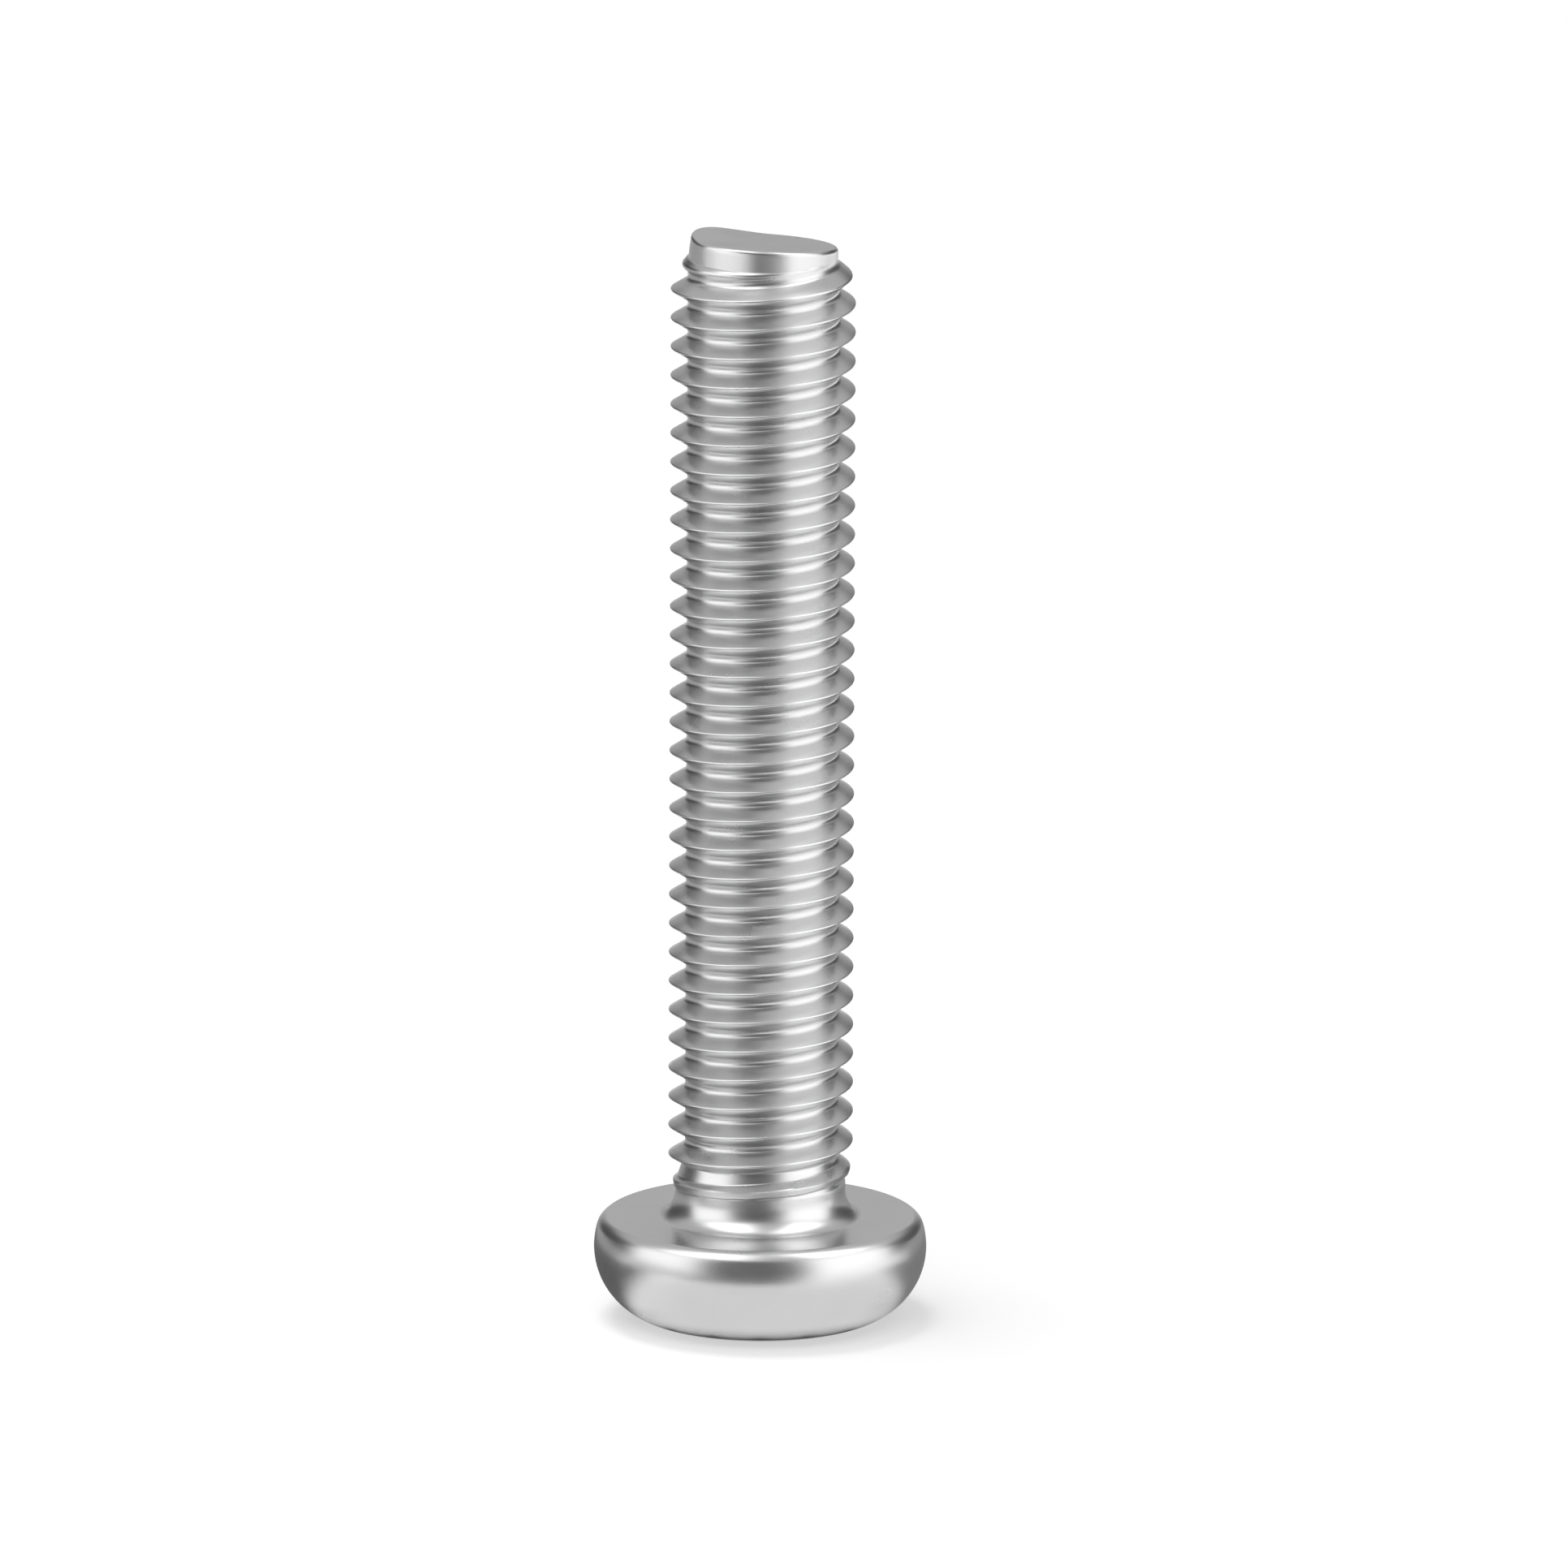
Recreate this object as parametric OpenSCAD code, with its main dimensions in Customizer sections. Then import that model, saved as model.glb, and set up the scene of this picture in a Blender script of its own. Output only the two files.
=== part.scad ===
// A pan head machine screw with a cross recess, standing on the flat top of its head.
// Lengths are in millimetres, angles in degrees. Z runs from the head to the tip.

/* [Head] */
// Width across the round head
head_d = 9; // [8.6:0.1:9.6]
// Height from the flat top to the bearing face
head_h = 2.86; // [2.7:0.02:3]
// Radius of the round arc down the side of the head
head_side_r = 2; // [1.8:0.1:2.1]
// Radius of the smaller arc at the rim
rim_r = 0.45; // [0.35:0.05:0.55]
// How far round the rim arc has turned where the bearing face cuts it
rim_turn = 69; // [60:1:80]

/* [Cross recess] */
// Length across two opposite wings at the mouth
recess_span = 4.85; // [4.6:0.05:4.9]
// Width of one wing
wing_w = 1.28; // [1.1:0.02:1.4]
// Distance from the middle to the nearest point of a round lobe
lobe_reach = 1.35; // [1.25:0.05:1.45]
// Radius of the tapered pocket at the mouth
recess_mouth_r = 2.52; // [2.46:0.02:2.6]
// Radius of the tapered pocket where its wings end
recess_floor_r = 1.2; // [1:0.05:1.35]
// Depth at which the wings end
recess_wing_depth = 2.1; // [1.8:0.1:2.3]
// Depth of the point in the middle
recess_depth = 2.5; // [2.4:0.05:2.7]
// Turn of the recess about the axis
recess_turn = 20; // [0:5:45]

/* [Neck under the head] */
// Width of the short plain neck
neck_d = 4.6; // [4.5:0.02:4.7]
// Height of the neck above the bearing face
neck_h = 0.95; // [0.85:0.05:1.15]
// Radius of the hollow fillet where the neck meets the head
fillet_r = 0.6; // [0.5:0.05:0.65]
// How far the fillet arc dips under the bearing face, which leaves a fine crease
fillet_dip = 0.02; // [0.01:0.01:0.04]

/* [Thread] */
// Width over the thread crests
thread_d = 5; // [4.9:0.02:5.1]
// Rise of the thread in one turn
pitch = 0.8; // [0.75:0.05:0.9]
// Width of the flat on the crest
crest_w = 0.04; // [0.02:0.02:0.1]
// Width of the flat in the root
root_w = 0.2; // [0.16:0.02:0.24]
// Depth of the thread, crest to root
thread_depth = 0.46; // [0.42:0.01:0.46]
// Height of the first crest above the bearing face, on the right-hand side
thread_start = 0.52; // [0.4:0.02:0.6]
// Height above the bearing face where the first crest leaves the neck
crest_out_z = 0.6; // [0.55:0.05:0.7]
// Height over which the crest grows to full
crest_out_h = 1.12; // [0.9:0.02:1.2]
// Height over which the groove sinks to full depth
groove_in_h = 0.75; // [0.6:0.05:0.9]

/* [Tip] */
// Length from the bearing face to the middle of the end face
shank_length = 27; // [20:0.1:32]
// Width of the plain point
point_d = 4.04; // [3.9:0.02:4.04]
// Length of the plain point
point_h = 0.37; // [0.35:0.01:0.6]
// Height over which the thread fades into the point
fade_h = 0.55; // [0.4:0.05:0.8]
// Fall of the end face towards the right
end_slope_side = 3.5; // [0:0.5:6]
// Fall of the end face towards the back
end_slope_back = 5.9; // [0:0.1:7]
// Width of the narrow bevel around the end face
end_bevel = 0.12; // [0.06:0.02:0.16]

/* [Smoothness] */
// Flat steps in one turn of the thread
thread_steps = 24; // [24:2:32]
// Flat steps around the turned forms
round_steps = 48; // [36:12:96]

/* [Hidden] */
$fn = 32;
// How far a cutting or joining body runs past the face that it works on
over = 0.5;
// Whole turns by which the thread skin starts below its first crest
turns_below = 2;
head_r = head_d / 2;
flat_r = head_r - head_side_r;
rim_z = head_h - rim_r * sin(rim_turn);
rim_rise = rim_z - head_side_r;
rim_run = sqrt(pow(head_side_r - rim_r, 2) - pow(rim_rise, 2));
rim_c = flat_r + rim_run;
wing_h = wing_w / 2;
lobe_r = (lobe_reach - wing_h * sqrt(2)) / (sqrt(2) - 1);
lobe_c = wing_h + lobe_r;
recess_taper = (recess_mouth_r - recess_floor_r) / recess_wing_depth;
neck_r = neck_d / 2;
crest_r = thread_d / 2;
root_r = crest_r - thread_depth;
point_r = point_d / 2;
flank_w = (pitch - crest_w - root_w) / 2;
crest_slope = (crest_r - neck_r) / crest_out_h;
groove_slope = (neck_r - root_r) / groove_in_h;
groove_end_h = groove_in_h + over / 2;
fade_slope = (crest_r - point_r) / fade_h;
turns = ceil((shank_length + 2 * over - thread_start) / pitch) + turns_below;
rows = 4 * turns + 1;
last_step = thread_steps - 1;

// Half section of the head: a flat land, a big arc, a small arc at the rim and the bearing face
module head_section() {
    polygon([[0, 0], [flat_r, 0], [rim_c, rim_z], [rim_c, head_h], [0, head_h]]);
    intersection() {
        translate([flat_r, head_side_r]) circle(r = head_side_r);
        polygon([
            [0, -over],
            [flat_r + head_r, -over],
            [flat_r + head_r, head_side_r + head_r * rim_rise / rim_run],
            [flat_r, head_side_r],
            [0, head_side_r]
        ]);
    }
    intersection() {
        translate([rim_c, rim_z]) circle(r = rim_r);
        square([rim_c + 2 * rim_r, head_h]);
    }
}

module head() {
    rotate_extrude($fn = round_steps) head_section();
}

// Outline of the cross at the mouth: a square less four rounded corner lobes
module cross_outline() {
    difference() {
        square(recess_span, center = true);
        for (a = [0 : 90 : 270]) rotate(a) {
            translate([lobe_c, lobe_c]) circle(r = lobe_r);
            translate([lobe_c, wing_h]) square(recess_span);
            translate([wing_h, lobe_c]) square(recess_span);
        }
    }
}

// Tapered cross pocket, cut into the flat top of the head
module recess() {
    rotate(recess_turn) intersection() {
        translate([0, 0, -2 * over]) linear_extrude(recess_depth + 4 * over) cross_outline();
        rotate_extrude($fn = round_steps) polygon([
            [0, -over],
            [recess_mouth_r + over * recess_taper, -over],
            [recess_floor_r, recess_wing_depth],
            [0, recess_depth]
        ]);
    }
}

// Half section of the neck with its hollow fillet and the cone that fills the first groove
module neck_section() {
    difference() {
        translate([0, -over]) square([neck_r + fillet_r, fillet_r + over - fillet_dip]);
        translate([neck_r + fillet_r, fillet_r - fillet_dip]) circle(r = fillet_r);
    }
    translate([0, -over]) square([neck_r, neck_h + over]);
    polygon([
        [0, neck_h],
        [neck_r, neck_h],
        [neck_r - groove_slope * groove_end_h, neck_h + groove_end_h],
        [0, neck_h + groove_end_h]
    ]);
}

// Radius and height of the four corners in one pitch of the thread
function corner_r(k) = (k < 2) ? crest_r : root_r;
function corner_z(k) = (k < 2) ? (k - 0.5) * crest_w : crest_w / 2 + flank_w + (k - 2) * root_w;

// One point of the thread skin: step j around the turn, row i up the screw
function skin_point(j, i) = [
    corner_r(i % 4) * cos(360 * j / thread_steps),
    corner_r(i % 4) * sin(360 * j / thread_steps),
    thread_start + pitch * (floor(i / 4) - turns_below + j / thread_steps) + corner_z(i % 4)
];

// Number of that point. After a full turn the thread meets the next pitch of its first step
function spot(j, i) = (j < thread_steps) ? j * rows + i : i + 4;

// A right-hand thread as one closed skin, a little longer than the screw at both ends
module thread_skin() {
    low = thread_steps * rows;
    high = low + 1;
    points = concat(
        [for (j = [0 : last_step], i = [0 : rows - 1]) skin_point(j, i)],
        [
            [0, 0, thread_start - pitch * turns_below],
            [0, 0, thread_start + pitch * (turns - turns_below + 0.5)]
        ]
    );
    cells = [
        for (j = [0 : last_step], i = [0 : rows - 2])
        if (j < last_step || i < rows - 5)
        [j, i]
    ];
    faces = concat(
        [for (c = cells) [spot(c.x, c.y), spot(c.x, c.y + 1), spot(c.x + 1, c.y + 1)]],
        [for (c = cells) [spot(c.x, c.y), spot(c.x + 1, c.y + 1), spot(c.x + 1, c.y)]],
        [for (j = [0 : last_step]) [low, spot(j, 0), spot(j + 1, 0)]],
        [for (i = [0 : 3]) [low, spot(0, i + 1), spot(0, i)]],
        [for (j = [0 : last_step - 1]) [high, spot(j + 1, rows - 1), spot(j, rows - 1)]],
        [[high, spot(0, rows - 1), spot(last_step, rows - 5)]],
        [for (i = [rows - 5 : rows - 2]) [high, spot(last_step, i), spot(last_step, i + 1)]]
    );
    polyhedron(points = points, faces = faces, convexity = 4);
}

// Turned envelope that trims the thread: it grows out of the neck and fades at the point
module thread_envelope() {
    wide_r = crest_r + over / 4;
    low_z = crest_out_z - over / 4;
    point_z = shank_length - point_h;
    rotate_extrude($fn = round_steps) polygon([
        [0, low_z],
        [neck_r + (low_z - crest_out_z) * crest_slope, low_z],
        [wide_r, crest_out_z + (wide_r - neck_r) / crest_slope],
        [wide_r, point_z - (wide_r - point_r) / fade_slope],
        [point_r, point_z],
        [point_r, shank_length + over],
        [0, shank_length + over]
    ]);
}

// Bevelled block whose top becomes the sloping end face
module end_trim() {
    reach = shank_length + head_r;
    face_r = point_r - end_bevel;
    translate([0, 0, shank_length])
    rotate([-end_slope_back, end_slope_side, 0])
    rotate_extrude($fn = round_steps) polygon([
        [0, -reach],
        [face_r + reach, -reach],
        [face_r, 0],
        [0, 0]
    ]);
}

module threaded_shank() {
    intersection() {
        thread_skin();
        thread_envelope();
        end_trim();
    }
}

module machine_screw() {
    color([0.72, 0.73, 0.74])
    difference() {
        union() {
            head();
            translate([0, 0, head_h]) {
                rotate_extrude($fn = round_steps) neck_section();
                threaded_shank();
            }
        }
        recess();
    }
}

machine_screw();
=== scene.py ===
# %% [markdown]
# A stainless steel machine screw, standing on its head.
# The real screw is one piece of wire. A press upsets one end into the round head and punches
# the cross recess, and two rolling dies then squeeze the thread into the shank.
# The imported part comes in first. It gives the frame that everything below has to stay in.

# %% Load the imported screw
import math

import bmesh
import bpy
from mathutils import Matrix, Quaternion, Vector


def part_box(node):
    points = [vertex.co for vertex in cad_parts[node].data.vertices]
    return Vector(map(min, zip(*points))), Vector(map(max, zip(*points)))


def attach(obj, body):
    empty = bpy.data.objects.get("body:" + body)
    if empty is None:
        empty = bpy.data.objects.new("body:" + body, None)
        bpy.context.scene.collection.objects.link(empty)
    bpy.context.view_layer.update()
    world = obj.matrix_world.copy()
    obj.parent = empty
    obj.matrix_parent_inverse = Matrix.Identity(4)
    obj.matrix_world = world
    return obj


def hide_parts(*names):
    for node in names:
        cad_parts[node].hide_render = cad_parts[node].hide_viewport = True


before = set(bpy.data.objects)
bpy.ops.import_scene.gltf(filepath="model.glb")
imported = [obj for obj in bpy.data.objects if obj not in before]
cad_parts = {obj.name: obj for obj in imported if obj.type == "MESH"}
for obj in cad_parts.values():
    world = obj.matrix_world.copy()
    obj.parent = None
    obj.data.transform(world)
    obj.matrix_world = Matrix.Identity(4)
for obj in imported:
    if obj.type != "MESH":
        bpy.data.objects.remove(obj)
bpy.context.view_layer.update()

MM = 0.001
NODE = "machine_screw"
low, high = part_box(NODE)
print("packed box in mm:", [round((b - a) / MM, 2) for a, b in zip(low, high)])

# %% [markdown]
# The head is a low round pan. Seen from the side it is a flat land, one big round arc that
# swings out to the widest point, a small arc at the rim and the flat bearing face.
# It could be a ball that is squashed and bevelled, but then no radius would be exact. A list of
# points along that line, worked out from the centres and radii of the arcs, is all that a turned
# form needs. Each point is a radius and a height.

# %% Half section of the head
head_r = 4.5 * MM
head_h = 2.86 * MM
side_r = 2.0 * MM
rim_r = 0.45 * MM
rim_cut = 69
side_steps = 30
rim_steps = 8
land_r = head_r - side_r
rim_z = head_h - rim_r * math.sin(math.radians(rim_cut))
rim_rise = rim_z - side_r
rim_run = math.sqrt((side_r - rim_r) ** 2 - rim_rise**2)
rim_turn = math.degrees(math.atan2(rim_rise, rim_run))


def arc(centre, radius, start, end, steps):
    """Points on an arc in the half section, angles in degrees."""
    turns = [math.radians(start + (end - start) * k / steps) for k in range(steps + 1)]
    return [(centre[0] + radius * math.cos(a), centre[1] + radius * math.sin(a)) for a in turns]


def line(start, end, steps):
    """Points on a straight line in the half section, without its first point."""
    shares = [k / steps for k in range(1, steps + 1)]
    return [(start[0] + (end[0] - start[0]) * s, start[1] + (end[1] - start[1]) * s) for s in shares]


side_line = arc((land_r, side_r), side_r, -90, rim_turn, side_steps)
rim_line = arc((land_r + rim_run, rim_z), rim_r, rim_turn, rim_cut, rim_steps)
head_line = side_line + rim_line[1:]
print("head section:", len(head_line), "points, widest", round(max(p[0] for p in head_line) / MM, 2))

# %% [markdown]
# Under the head the bearing face runs in to a hollow fillet, which climbs to a short plain
# neck. The fillet arc dips a hair below the face, so that a fine crease shows at its foot,
# as the punch leaves it. The arc is drawn out a little along the neck, as flowing metal is,
# and extra points close to the crease keep it crisp.

# %% Bearing face, fillet and neck
neck_r = 2.3 * MM
fillet_r = 0.6 * MM
fillet_dip = 0.02 * MM
fillet_stretch = 1.3
fillet_steps = 16
face_steps = 8
crease_w = 0.02 * MM
fillet_c = (neck_r + fillet_r, head_h + fillet_r - fillet_dip)
foot_turn = 180 + math.degrees(math.asin(1 - fillet_dip / fillet_r))
round_fillet = arc(fillet_c, fillet_r, foot_turn, 180, fillet_steps)
fillet_line = [(r, head_h + (z - head_h) * fillet_stretch) for r, z in round_fillet]
foot = fillet_line[0]
rim_edge = (rim_line[-1][0] - crease_w, head_h)
face_line = [rim_edge] + line(rim_edge, (foot[0] + crease_w, head_h), face_steps)
turned_line = head_line + face_line + fillet_line
neck_z = fillet_line[-1][1]
print("turned section:", len(turned_line), "points, fillet foot at", round(foot[0] / MM, 2), "mm")

# %% [markdown]
# One pitch of a metric thread is a crest, a flank at 60 degrees to the axis, a root and a
# flank back out. Rolled steel never has a knife edge, so each of the four corners is an arc.
# The points below describe one pitch as an offset along the axis and a radius. They are set
# closest where the form bends most, because that is where steel catches the light.

# %% One pitch of the thread
crest_r = 2.5 * MM
pitch = 0.8 * MM
thread_depth = 0.46 * MM
crest_w = 0.04 * MM
root_w = 0.2 * MM
crest_round = 0.034 * MM
root_round = 0.16 * MM
flank_turn = 60
crest_steps = 3
root_steps = 5
root_r = crest_r - thread_depth


def pitch_section():
    """Half a pitch, from the middle of the crest to the middle of the root."""
    cut = math.tan(math.radians(flank_turn / 2))
    flank_w = (pitch - crest_w - root_w) / 2
    crest_c = (crest_w / 2 - crest_round * cut, crest_r - crest_round)
    root_c = (crest_w / 2 + flank_w + root_round * cut, root_r + root_round)
    points = [(0, crest_r)]
    for k in range(crest_steps + 1):
        a = math.radians(90 - flank_turn * k / crest_steps)
        points.append((crest_c[0] + crest_round * math.cos(a), crest_c[1] + crest_round * math.sin(a)))
    middle = ((crest_w + flank_w) / 2, (crest_r + root_r) / 2)
    points.append(middle)
    for k in range(root_steps + 1):
        a = math.radians(270 - flank_turn * (root_steps - k) / root_steps)
        points.append((root_c[0] + root_round * math.cos(a), root_c[1] + root_round * math.sin(a)))
    return points


half = pitch_section()
pitch_points = half + [(pitch - o, r) for o, r in reversed(half[1:])]
rows_per_pitch = len(pitch_points)
print("rows in one pitch:", rows_per_pitch)

# %% [markdown]
# The thread doesn't start or stop with a wall. At the neck the crest grows out of a cone and
# the groove sinks into another, and at the tip the crest fades down to the plain point.
# Both ends are made by holding the radius between an outer and an inner limit that depend on
# height alone. A soft minimum blends them, so the metal flows from one form to the next.

# %% Limits that let the thread grow and fade
crest_out_z = 0.6 * MM
crest_out_h = 1.12 * MM
neck_h = 0.95 * MM
groove_in_h = 0.75 * MM
shank_length = 27.0 * MM
point_r = 2.02 * MM
point_h = 0.37 * MM
fade_h = 0.55 * MM
run_out_blend = 0.025 * MM
fade_blend = 0.3 * MM


def soft_min(a, b, blend=run_out_blend):
    """The smaller of two radii, with a rounded corner where they meet."""
    gap = max(blend - abs(a - b), 0) / blend
    return min(a, b) - gap * gap * blend / 4


def soft_max(a, b):
    """The larger of two radii, rounded in the same way."""
    return -soft_min(-a, -b)


def held_radius(radius, height):
    """Radius of the threaded shank at a height above the bearing face."""
    grown = neck_r + (height - crest_out_z) * (crest_r - neck_r) / crest_out_h
    faded = point_r + (shank_length - point_h - height) * (crest_r - point_r) / fade_h
    outer = soft_min(soft_min(radius, max(grown, 0)), max(faded, point_r), fade_blend)
    core = min(neck_r, neck_r - (height - neck_h) * (neck_r - root_r) / groove_in_h)
    return soft_max(outer, core)


test_height = 0.7 * MM
print("radius on the neck:", round(held_radius(crest_r, test_height) / MM, 3), "mm")

# %% [markdown]
# A helix is the same section shifted up by a little at every step round the axis. A screw
# modifier could sweep it, but its ends would need cutting off. Here each column is one such
# step, and its rows follow the thread, so an edge of the mesh always lies along the crest and
# the root. Above and below the thread the rows level out, and fill the space up to the flat
# rings of the neck and of the point.

# %% Columns of the shank
columns = 108
thread_start = 0.52 * MM
level_rows = rows_per_pitch
level_space = 0.04 * MM
ring_drop = 0.02 * MM
first_z = neck_z - head_h + level_space
ring_z = shank_length - point_h - ring_drop
last_z = ring_z - level_space - pitch
first_row = next(k for k, (o, r) in enumerate(pitch_points) if thread_start + o >= first_z)


def thread_column(turn):
    """Heights and section radii of the helical rows at one step round the axis."""
    column = []
    row = first_row
    while True:
        offset, radius = pitch_points[row % rows_per_pitch]
        height = thread_start + pitch * (row // rows_per_pitch) + offset
        if height > last_z:
            return column
        column.append((height + pitch * turn, radius))
        row += 1


def section_radius(height, turn):
    """Radius of the endless thread at any height, for the rows that are level."""
    offset = (height - thread_start - pitch * turn) % pitch
    for (o0, r0), (o1, r1) in zip(pitch_points, pitch_points[1:] + [(pitch, crest_r)]):
        if o0 <= offset <= o1 and o1 > o0:
            return r0 + (r1 - r0) * (offset - o0) / (o1 - o0)
    return crest_r


def level_column(start, end, turn):
    """Rows between two heights, both left out."""
    heights = [start + (end - start) * k / level_rows for k in range(1, level_rows)]
    return [(h, section_radius(h, turn)) for h in heights]


def shank_column(step):
    """Radii and heights of all rows from the neck up to the ring under the point."""
    turn = step / columns
    thread = thread_column(turn)
    below = level_column(neck_z - head_h, thread[0][0], turn)
    above = level_column(thread[-1][0], ring_z, turn)
    return [(held_radius(r, h), head_h + h) for h, r in below + thread + above]


shank_rows = len(shank_column(0))
print("rows up the shank:", shank_rows)

# %% [markdown]
# The tip was sheared off the wire and never faced, so its end is flat but slopes a few
# degrees to the right and to the back. The shears left a burr at its back left corner, which
# stands a little proud and fades inward, and pulled the wall in under it. A plane that cuts the
# shank would give no burr, so the end face is a height worked out for every place on it, and
# its edge is a small arc that follows the face.

# %% The point and its sloping end face
slope_side = math.tan(math.radians(3.5))
slope_back = math.tan(math.radians(5.9))
edge_round = 0.12 * MM
burr_h = 0.24 * MM
burr_turn = 152
burr_spread = 70
burr_pull = 0.1 * MM
pull_power = 1.5
wall_steps = 6
edge_steps = 6
face_shares = (0.985, 0.7, 0.4, 0.1)


def torn(angle):
    """How much the shears tore the edge there: 1 at the burr, 0 away from it."""
    away = abs((math.degrees(angle) - burr_turn + 180) % 360 - 180) / burr_spread
    return math.cos(min(away, 1) * math.pi / 2) ** 2


def end_height(radius, angle):
    """Height of the end face over a place given by its radius and its angle."""
    x, y = radius * math.cos(angle), radius * math.sin(angle)
    burr = burr_h * torn(angle) * (radius / point_r) ** 2
    return head_h + shank_length - slope_side * x - slope_back * y + burr


def point_column(angle):
    """Rows from the top ring of the thread up the point and in over its end face."""
    wall_top = end_height(point_r, angle) - edge_round
    base = head_h + ring_z
    pull = burr_pull * torn(angle)
    column = []
    for k in range(wall_steps + 1):
        share = k / wall_steps
        column.append((point_r - pull * share**pull_power, base + (wall_top - base) * share))
    for k in range(1, edge_steps + 1):
        a = math.radians(90 * k / edge_steps)
        radius = point_r - pull - edge_round * (1 - math.cos(a))
        column.append((radius, end_height(radius, angle) - edge_round * (1 - math.sin(a))))
    for share in face_shares:
        radius = (point_r - pull - edge_round) * share
        column.append((radius, end_height(radius, angle)))
    return column


point_rows = len(point_column(0))
print("rows over the point:", point_rows)

# %% [markdown]
# Now the columns are knitted into one closed skin. Neighbouring columns join row by row. The
# last column meets the first one a whole pitch higher, so there the thread's rows join with
# that shift, and the level rows above and below are joined by a zip of triangles that always
# climbs on the side which lies lower.

# %% Knit the columns into a skin
def skin_column(mesh, step):
    """Vertices of one column, from the land of the head to the end face."""
    angle = 2 * math.pi * step / columns
    rows = turned_line + shank_column(step) + point_column(angle)
    return [mesh.verts.new((r * math.cos(angle), r * math.sin(angle), z)) for r, z in rows]


def join_rows(mesh, left, right):
    """Joins two lists of equal length, row by row."""
    for a, b, c, d in zip(left, right, right[1:], left[1:]):
        mesh.faces.new((a, b, c, d))


def zip_rows(mesh, left, right):
    """Joins two lists of unlike length with triangles."""
    i = j = 0
    while i < len(left) - 1 or j < len(right) - 1:
        left_is_low = i < len(left) - 1 and (
            j == len(right) - 1 or left[i + 1].co.z <= right[j + 1].co.z
        )
        if left_is_low:
            mesh.faces.new((left[i], right[j], left[i + 1]))
            i += 1
        else:
            mesh.faces.new((left[i], right[j], right[j + 1]))
            j += 1


def knit_screw():
    """The closed skin of the whole screw, with a flat lid at both ends."""
    mesh = bmesh.new()
    skin = [skin_column(mesh, step) for step in range(columns)]
    for left, right in zip(skin, skin[1:]):
        join_rows(mesh, left, right)
    last, first = skin[-1], skin[0]
    neck = len(turned_line)
    ring = neck + shank_rows
    last_low = neck + level_rows - 1
    first_low = last_low + rows_per_pitch
    first_high = ring - level_rows
    last_high = first_high - rows_per_pitch
    join_rows(mesh, last[:neck], first[:neck])
    zip_rows(mesh, last[neck - 1 : last_low + 1], first[neck - 1 : first_low + 1])
    join_rows(mesh, last[last_low : last_high + 1], first[first_low : first_high + 1])
    zip_rows(mesh, last[last_high : ring + 1], first[first_high : ring + 1])
    join_rows(mesh, last[ring:], first[ring:])
    mesh.faces.new([column[0] for column in reversed(skin)])
    mesh.faces.new([column[-1] for column in skin])
    return mesh


def new_object(name, mesh):
    """Turns a bmesh into an object that lies at the origin."""
    bmesh.ops.recalc_face_normals(mesh, faces=mesh.faces)
    data = bpy.data.meshes.new(name)
    mesh.to_mesh(data)
    mesh.free()
    made = bpy.data.objects.new(name, data)
    bpy.context.collection.objects.link(made)
    return made


screw = new_object("rolled_screw", knit_screw())
print("skin of the screw:", len(screw.data.vertices), "vertices,", len(screw.data.polygons), "faces")

# %% [markdown]
# The cross recess is a pocket that a driver fits. Cutting it with a boolean is the way that
# comes closest to the punch: a cross with parallel wings and four round lobes, overlapped
# with a turned pocket that tapers to a point. The cross is a little wider at its very mouth,
# which leaves the bright lip that the punch turns up.

# %% Outline of the cross
recess_span = 4.85 * MM
wing_w = 1.28 * MM
lobe_reach = 1.35 * MM
lobe_steps = 16
recess_turn = math.radians(20)


def cross_outline(grow):
    """Corners of the cross, grown outward by a small amount."""
    lobe_r = (lobe_reach - wing_w / 2 * math.sqrt(2)) / (math.sqrt(2) - 1)
    centre = wing_w / 2 + lobe_r
    reach = lobe_r - grow
    side, tip = wing_w / 2 + grow, recess_span / 2 + grow
    quarter = [(tip, side)]
    for k in range(lobe_steps + 1):
        a = math.radians(270 - 90 * k / lobe_steps)
        quarter.append((centre + reach * math.cos(a), centre + reach * math.sin(a)))
    quarter.append((side, tip))
    outline = []
    for q in range(4):
        a = recess_turn + q * math.pi / 2
        cos_a, sin_a = math.cos(a), math.sin(a)
        outline += [(x * cos_a - y * sin_a, x * sin_a + y * cos_a) for x, y in quarter]
    return outline


print("cross outline:", len(cross_outline(0)), "corners")

# %% [markdown]
# Both punch bodies are stacks of outlines. Each runs a little past the face that it cuts, since
# a boolean between two faces in one plane leaves slivers.

# %% Punch the recess into the head
recess_mouth_r = 2.52 * MM
recess_floor_r = 1.2 * MM
recess_wing_depth = 2.1 * MM
recess_depth = 2.5 * MM
recess_taper = (recess_mouth_r - recess_floor_r) / recess_wing_depth
lip = 0.05 * MM
mouth_over = 0.3 * MM
depth_over = 0.5 * MM
pocket_over = 0.4 * MM
pocket_tip_r = 0.01 * MM
circle_steps = 96


def stacked(rings):
    """A closed mesh through rings of points, one above the other."""
    mesh = bmesh.new()
    loops = [[mesh.verts.new(p) for p in ring] for ring in rings]
    for lower, upper in zip(loops, loops[1:]):
        for a, b, c, d in zip(lower, lower[1:] + lower[:1], upper[1:] + upper[:1], upper):
            mesh.faces.new((a, b, c, d))
    mesh.faces.new(list(reversed(loops[0])))
    mesh.faces.new(loops[-1])
    return mesh


def circle(radius, height):
    """Points round the axis at one height."""
    turns = [2 * math.pi * k / circle_steps for k in range(circle_steps)]
    return [(radius * math.cos(a), radius * math.sin(a), height) for a in turns]


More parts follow.
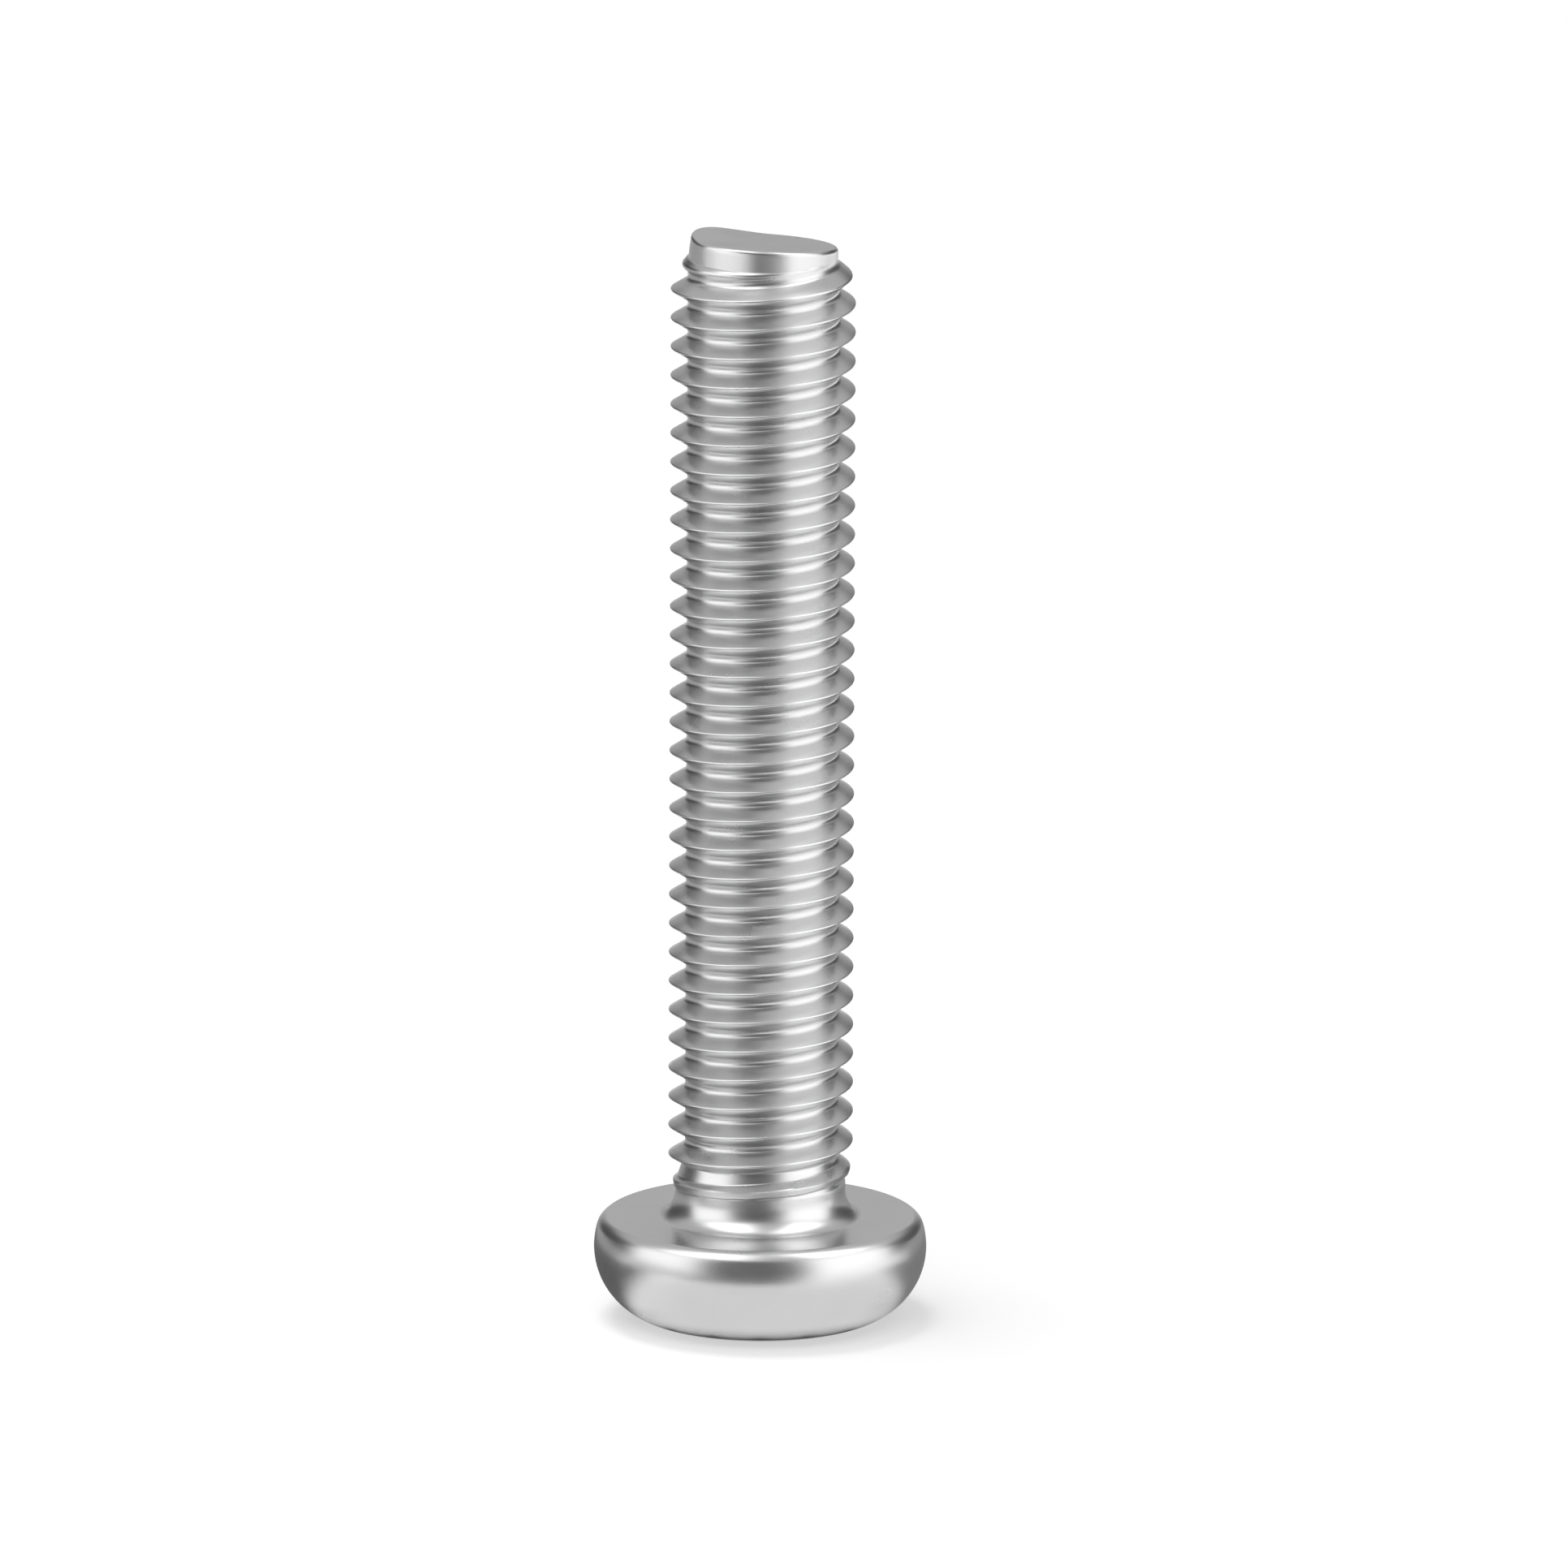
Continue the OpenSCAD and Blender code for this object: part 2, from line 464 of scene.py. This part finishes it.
def cut_with(target, tool, operation):
    """Applies a boolean to the target and removes the tool."""
    modifier = target.modifiers.new("cut", "BOOLEAN")
    modifier.operation = operation
    modifier.solver = "EXACT"
    modifier.object = tool
    scene_now = bpy.context.evaluated_depsgraph_get()
    result = bpy.data.meshes.new_from_object(target.evaluated_get(scene_now))
    target.modifiers.clear()
    target.data = result
    bpy.data.objects.remove(tool)


cross_levels = [(-mouth_over, lip + mouth_over), (0, lip), (lip, 0), (recess_depth + depth_over, 0)]
cross_rings = [[(x, y, z) for x, y in cross_outline(grow)] for z, grow in cross_levels]
pocket_levels = [
    (recess_mouth_r + pocket_over, -mouth_over),
    (recess_mouth_r + lip, 0),
    (recess_mouth_r - lip * recess_taper, lip),
    (recess_floor_r, recess_wing_depth),
    (pocket_tip_r, recess_depth),
]
cross = new_object("cross_punch", stacked(cross_rings))
pocket = new_object("pocket_punch", stacked([circle(r, z) for r, z in pocket_levels]))
cut_with(cross, pocket, "INTERSECT")
cut_with(screw, cross, "DIFFERENCE")
triangles = sum(len(face.vertices) - 2 for face in screw.data.polygons)
print("after the punch:", triangles, "triangles")

# %% [markdown]
# Steel looks right only if its surface is smooth where the real one is, and broken at true
# edges. Every face is shaded smooth, and edges that bend by more than the angle below stay
# sharp, which are those of the recess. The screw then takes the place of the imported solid.

# %% Smooth shading with true edges
sharp_turn = math.radians(33)
screw.data.polygons.foreach_set("use_smooth", [True] * len(screw.data.polygons))
screw.data.set_sharp_from_angle(angle=sharp_turn)
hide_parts(NODE)
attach(screw, "root")
print("edges stay sharp above", round(math.degrees(sharp_turn)), "degrees")

# %% [markdown]
# Bright stainless steel is a metal with a pale neutral colour and a soft satin gloss. Cold
# forming and tumbling leave very fine marks, so the roughness varies a little over the
# surface and a faint bump breaks the reflections. A picture of scratches would need the
# surface unrolled and would repeat, so both come from noise in object space.

# %% Stainless steel
deep_tint = (0.63, 0.63, 0.635, 1)
pale_tint = (0.69, 0.69, 0.69, 1)
least_rough = 0.26
most_rough = 0.3
cloud_scale = 900
cloud_detail = 4
grain_scale = 9000
grain_detail = 3
bump_strength = 0.02
bump_depth = 0.005 * MM


def steel_material():
    """A pale metal whose tint, gloss and grain follow two noises."""
    material = bpy.data.materials.new("satin_stainless_steel")
    material.use_nodes = True
    nodes, links = material.node_tree.nodes, material.node_tree.links
    shader = nodes["Principled BSDF"]
    shader.inputs["Metallic"].default_value = 1.0
    place = nodes.new("ShaderNodeTexCoord")
    cloud = nodes.new("ShaderNodeTexNoise")
    cloud.inputs["Scale"].default_value = cloud_scale
    cloud.inputs["Detail"].default_value = cloud_detail
    tint = nodes.new("ShaderNodeValToRGB")
    tint.color_ramp.elements[0].color = deep_tint
    tint.color_ramp.elements[1].color = pale_tint
    satin = nodes.new("ShaderNodeMapRange")
    satin.inputs["To Min"].default_value = least_rough
    satin.inputs["To Max"].default_value = most_rough
    grain = nodes.new("ShaderNodeTexNoise")
    grain.inputs["Scale"].default_value = grain_scale
    grain.inputs["Detail"].default_value = grain_detail
    bump = nodes.new("ShaderNodeBump")
    bump.inputs["Strength"].default_value = bump_strength
    bump.inputs["Distance"].default_value = bump_depth
    for texture in (cloud, grain):
        links.new(place.outputs["Object"], texture.inputs["Vector"])
    links.new(cloud.outputs["Fac"], tint.inputs["Fac"])
    links.new(cloud.outputs["Fac"], satin.inputs["Value"])
    links.new(grain.outputs["Fac"], bump.inputs["Height"])
    links.new(tint.outputs["Color"], shader.inputs["Base Color"])
    links.new(satin.outputs["Result"], shader.inputs["Roughness"])
    links.new(bump.outputs["Normal"], shader.inputs["Normal"])
    return material


screw.data.materials.clear()
screw.data.materials.append(steel_material())
print("finish:", screw.data.materials[0].name)

# %% [markdown]
# The floor is a plain white sheet that keeps the soft shadow under the head. More lamp light
# would turn it white, but would burn out the steel too. So the camera sees half of the sheet
# as a glow at full white, and reflections see a quarter of it so. The rest is lit as paper is.

# %% Floor
floor_w = 1.2
sheet_colour = (0.9, 0.9, 0.9, 1)
sheet_rough = 0.8
sheet_shine = 0.1
full_white = 1.0
seen_share = 0.5
mirrored_share = 0.25


def white_floor():
    """Paper white, with a share of plain glow for the camera and for reflections."""
    material = bpy.data.materials.new("white_sheet")
    material.use_nodes = True
    nodes, links = material.node_tree.nodes, material.node_tree.links
    shader = nodes["Principled BSDF"]
    shader.inputs["Base Color"].default_value = sheet_colour
    shader.inputs["Roughness"].default_value = sheet_rough
    shader.inputs["Specular IOR Level"].default_value = sheet_shine
    path = nodes.new("ShaderNodeLightPath")
    mirrored = nodes.new("ShaderNodeMath")
    mirrored.operation = "MAXIMUM"
    direct = nodes.new("ShaderNodeMath")
    direct.operation = "MULTIPLY"
    direct.inputs[1].default_value = seen_share
    seen = nodes.new("ShaderNodeMath")
    seen.operation = "MULTIPLY_ADD"
    seen.inputs[1].default_value = mirrored_share
    glow = nodes.new("ShaderNodeEmission")
    glow.inputs["Strength"].default_value = full_white
    lift = nodes.new("ShaderNodeMixShader")
    links.new(path.outputs["Is Camera Ray"], direct.inputs[0])
    links.new(path.outputs["Is Glossy Ray"], mirrored.inputs[0])
    links.new(path.outputs["Is Transmission Ray"], mirrored.inputs[1])
    links.new(mirrored.outputs["Value"], seen.inputs[0])
    links.new(direct.outputs["Value"], seen.inputs[2])
    links.new(seen.outputs["Value"], lift.inputs["Fac"])
    links.new(shader.outputs["BSDF"], lift.inputs[1])
    links.new(glow.outputs["Emission"], lift.inputs[2])
    links.new(lift.outputs["Shader"], nodes["Material Output"].inputs["Surface"])
    return material


bpy.ops.mesh.primitive_grid_add(x_subdivisions=2, y_subdivisions=2, size=floor_w)
floor = bpy.context.object
floor.name = "white_floor"
floor.data.materials.append(white_floor())
print("floor:", floor_w, "m wide")

# %% [markdown]
# The room is a pale tent, a little darker at the horizon than overhead. Lamps light the floor,
# but a mirror-like metal shows only what stands around it. So the lamps stay out of the
# reflections, and soft cards that only reflections see draw the bright and dark bands.

# %% Pale tent and lamps
horizon_grey = 0.36
upper_grey = 0.56
grey_rise = 0.25
lamp_distance = 0.6
screw_middle = Vector((0, 0, 15 * MM))


def studio_world():
    """A grey sky that pales from the horizon up."""
    world = bpy.data.worlds.new("pale_tent")
    world.use_nodes = True
    nodes, links = world.node_tree.nodes, world.node_tree.links
    place = nodes.new("ShaderNodeTexCoord")
    split = nodes.new("ShaderNodeSeparateXYZ")
    rise = nodes.new("ShaderNodeMapRange")
    rise.inputs["From Max"].default_value = grey_rise
    rise.inputs["To Min"].default_value = horizon_grey
    rise.inputs["To Max"].default_value = upper_grey
    links.new(place.outputs["Generated"], split.inputs["Vector"])
    links.new(split.outputs["Z"], rise.inputs["Value"])
    links.new(rise.outputs["Result"], nodes["Background"].inputs["Color"])
    return world


def direction(azimuth, elevation):
    """A direction from the screw: azimuth 0 is towards the viewer, and grows to the right."""
    a, e = math.radians(azimuth), math.radians(elevation)
    return Vector((math.sin(a) * math.cos(e), -math.cos(a) * math.cos(e), math.sin(e)))


def soft_lamp(name, azimuth, elevation, size, power):
    """A square soft box that looks at the middle of the screw."""
    lamp = bpy.data.lights.new(name, "AREA")
    lamp.size = size
    lamp.energy = power
    made = bpy.data.objects.new(name, lamp)
    back = direction(azimuth, elevation)
    made.location = screw_middle + back * lamp_distance
    made.rotation_euler = (-back).to_track_quat("-Z", "Y").to_euler()
    made.visible_camera = False
    made.visible_glossy = False
    bpy.context.collection.objects.link(made)


bpy.context.scene.world = studio_world()
soft_lamp("top_soft_box", -110, 79, size=0.2, power=1.9)
soft_lamp("front_soft_box", -30, 50, size=0.5, power=1.3)

# %% [markdown]
# A card is a sheet that only reflections see. A lamp could draw a bright band but never a dark
# one, and its edge would be hard. A card fades out at its sides and at its far end by turning
# transparent, so a band in the steel has no hard end. The fade follows its own two shares, one
# across the card and one along it.

# %% Finish of a soft card
def fade_node(nodes, soft):
    """Falls smoothly from 1 to 0 over the last stretch before a share of 1."""
    fade = nodes.new("ShaderNodeMapRange")
    fade.interpolation_type = "SMOOTHSTEP"
    fade.inputs["From Min"].default_value = 1
    fade.inputs["From Max"].default_value = 1 - soft
    return fade


def card_finish(name, strength, soft_side, soft_end):
    """A glow that fades to clear at both sides of the card and at its far end."""
    material = bpy.data.materials.new(name)
    material.use_nodes = True
    nodes, links = material.node_tree.nodes, material.node_tree.links
    nodes.remove(nodes["Principled BSDF"])
    place = nodes.new("ShaderNodeUVMap")
    split = nodes.new("ShaderNodeSeparateXYZ")
    centred = nodes.new("ShaderNodeMath")
    centred.operation = "MULTIPLY_ADD"
    centred.inputs[1].default_value = 2
    centred.inputs[2].default_value = -1
    away = nodes.new("ShaderNodeMath")
    away.operation = "ABSOLUTE"
    side_fade = fade_node(nodes, 2 * soft_side)
    end_fade = fade_node(nodes, soft_end)
    both = nodes.new("ShaderNodeMath")
    both.operation = "MULTIPLY"
    clear = nodes.new("ShaderNodeBsdfTransparent")
    glow = nodes.new("ShaderNodeEmission")
    glow.inputs["Strength"].default_value = strength
    mix = nodes.new("ShaderNodeMixShader")
    links.new(place.outputs["UV"], split.inputs["Vector"])
    links.new(split.outputs["X"], centred.inputs[0])
    links.new(centred.outputs["Value"], away.inputs[0])
    links.new(away.outputs["Value"], side_fade.inputs["Value"])
    links.new(split.outputs["Y"], end_fade.inputs["Value"])
    links.new(side_fade.outputs["Result"], both.inputs[0])
    links.new(end_fade.outputs["Result"], both.inputs[1])
    links.new(both.outputs["Value"], mix.inputs["Fac"])
    links.new(clear.outputs["BSDF"], mix.inputs[1])
    links.new(glow.outputs["Emission"], mix.inputs[2])
    links.new(mix.outputs["Shader"], nodes["Material Output"].inputs["Surface"])
    return material


print("materials so far:", len(bpy.data.materials))

# %% [markdown]
# Three kinds of card are enough. Tent cards hang on a wide ball round the screw, and the head
# and the crests of the thread show them. The upright walls mirror the floor, so their bands come
# from lying cards, which are slices of a ring. A low strip that stands close to the head draws
# the dark patch on its front. All three are one grid of points, laid by a different function.

# %% Three kinds of card
card_distance = 0.4
card_steps = 16
card_lift = 0.1 * MM


def card(name, place, strength, soft_side, soft_end):
    """A sheet whose points are given by a function of two shares from 0 to 1."""
    mesh = bmesh.new()
    uv = mesh.loops.layers.uv.new("card")
    shares = [k / card_steps for k in range(card_steps + 1)]
    grid = [[mesh.verts.new(place(u, v)) for v in shares] for u in shares]
    for i in range(card_steps):
        for j in range(card_steps):
            corners = [(i, j), (i + 1, j), (i + 1, j + 1), (i, j + 1)]
            face = mesh.faces.new([grid[a][b] for a, b in corners])
            for loop, (a, b) in zip(face.loops, corners):
                loop[uv].uv = (shares[a], shares[b])
    made = new_object(name, mesh)
    made.data.materials.append(card_finish(name, strength, soft_side, soft_end))
    made.visible_camera = False
    made.visible_diffuse = False
    made.visible_shadow = False


def between(ends, share):
    """The value at a share of the way from the first end to the second."""
    return ends[0] + (ends[1] - ends[0]) * share


def tent_card(name, azimuths, elevations, strength, distance=card_distance, soft_side=0.3, soft_end=0.4):
    """A card on the tent wall between two elevations, which fades out towards the second."""
    def place(u, v):
        return direction(between(azimuths, u), between(elevations, v)) * distance
    card(name, place, strength, soft_side, soft_end)


def lying_card(name, azimuths, radii, strength, soft_side=0.3, soft_end=0.02, lift=card_lift):
    """A slice of a ring on the floor between two radii, which fades out towards the second."""
    def place(u, v):
        return direction(between(azimuths, u), 0) * between(radii, v) + Vector((0, 0, lift))
    card(name, place, strength, soft_side, soft_end)


def close_card(name, azimuths, radius, heights, strength, soft_side=0.3, soft_end=0.3):
    """A low upright strip close to the head, which fades out towards its second height."""
    def place(u, v):
        return direction(between(azimuths, u), 0) * radius + Vector((0, 0, between(heights, v)))
    card(name, place, strength, soft_side, soft_end)


print("soft cards hang at", card_distance, "m")

# %% [markdown]
# The tent cards come first. Bright ones to the left and right give the head its two highlights,
# a dark one in front parts them, and dark ones behind them shade its outer sides. The high ones
# light the rim and the upper flanks, and leave a gap between them for the darker middle.

# %% Cards on the tent
tent_card("left_bright_card", (-118, -26), (0.1, 42), 1.5, distance=0.45)
tent_card("right_bright_card", (16, 118), (0.1, 42), 1.6, distance=0.45)
tent_card("front_dark_card", (-56, 46), (0.1, 45), 0.09, soft_side=0.42)
tent_card("left_dark_card", (-166, -94), (0.1, 34), 0.05, soft_side=0.2)
tent_card("right_dark_card", (98, 168), (0.1, 34), 0.06, soft_side=0.2)
tent_card("left_high_card", (-104, 2), (39, 86), 2.3, distance=0.5, soft_end=0.3)
tent_card("right_high_card", (32, 115), (39, 86), 2.5, distance=0.5, soft_end=0.3)
close_card("front_close_card", (-42, 34), 8.5 * MM, (1.04 * MM, 4.4 * MM), 0.13, soft_side=0.42)

# %% [markdown]
# The lying cards do the same for the walls of the shank, from far out at the tent to close
# beside the head. Cards that overlap lie at different heights, because two sheets in one plane
# would fight for the same ray. The tip mirrors the floor farther out than the thread does, so
# it has three cards of its own.

# %% Cards on the floor
lying_card("front_floor_card", (-54, 42), (card_distance, 28 * MM), 0.17, 0.4, 0.03)
lying_card("front_middle_card", (-60, 10), (28 * MM, 11 * MM), 0.35, 0.4, 0.2, lift=0.11 * MM)
lying_card("left_floor_card", (-172, -94), (card_distance, 10 * MM), 0.42, 0.2, 0.015)
lying_card("right_floor_card", (104, 172), (card_distance, 10 * MM), 0.34, 0.2, 0.015)
lying_card("left_bright_floor_card", (-104, -30), (card_distance, 12 * MM), 0.62, lift=0.12 * MM)
lying_card("right_bright_floor_card", (24, 108), (card_distance, 12 * MM), 1.4, lift=0.12 * MM)
lying_card("left_near_card", (-200, -62), (3 * MM, 17 * MM), 0.13, 0.15, 0.25, lift=0.14 * MM)
lying_card("right_near_card", (72, 200), (3 * MM, 17 * MM), 0.22, 0.15, 0.25, lift=0.15 * MM)
lying_card("front_near_card", (-84, 90), (9 * MM, 3.4 * MM), 0.92, 0.3, 0.1, lift=0.13 * MM)
# Painted contact shade: a dark ring under the overhang of the head, seen only in reflections, stands in
# for the shadow on the floor there and darkens the lower rim that mirrors it.
lying_card("painted_contact_shade_card", (-180, 180), (2.6 * MM, 3.6 * MM), 0.05, 0.001, 0.3, lift=0.16 * MM)
lying_card("tip_left_card", (-98, -6), (card_distance, 112 * MM), 1.6, lift=0.2 * MM)
lying_card("tip_front_card", (-14, 44), (card_distance, 112 * MM), 0.4, lift=0.22 * MM)
lying_card("tip_right_card", (50, 172), (card_distance, 112 * MM), 1.3, lift=0.2 * MM)

# %% [markdown]
# The camera looks down on the screw by a little over thirteen degrees. A short lens would make
# the shank taper, so this one is very long and stands far back, which keeps its sides parallel.

# %% Camera
lens = 1200
sensor_w = 36
frame_w = 42.37 * MM
tilt = math.radians(13.5)
roll = math.radians(0.2)
aim = Vector((0.603 * MM, 0, 14.84 * MM))
view_reach = 10


def long_lens_camera():
    """A camera that frames the screw from far away."""
    data = bpy.data.cameras.new("long_lens")
    data.lens = lens
    data.sensor_width = sensor_w
    data.clip_end = view_reach
    camera = bpy.data.objects.new("long_lens", data)
    back = Vector((0, -math.cos(tilt), math.sin(tilt)))
    camera.location = aim + back * frame_w * lens / sensor_w
    turn = (-back).to_track_quat("-Z", "Y") @ Quaternion((0, 0, 1), roll)
    camera.rotation_euler = turn.to_euler()
    bpy.context.collection.objects.link(camera)
    return camera


bpy.context.scene.camera = long_lens_camera()
bpy.context.scene.view_settings.view_transform = "Standard"
print("camera stands", round(frame_w * lens / sensor_w, 2), "m away")
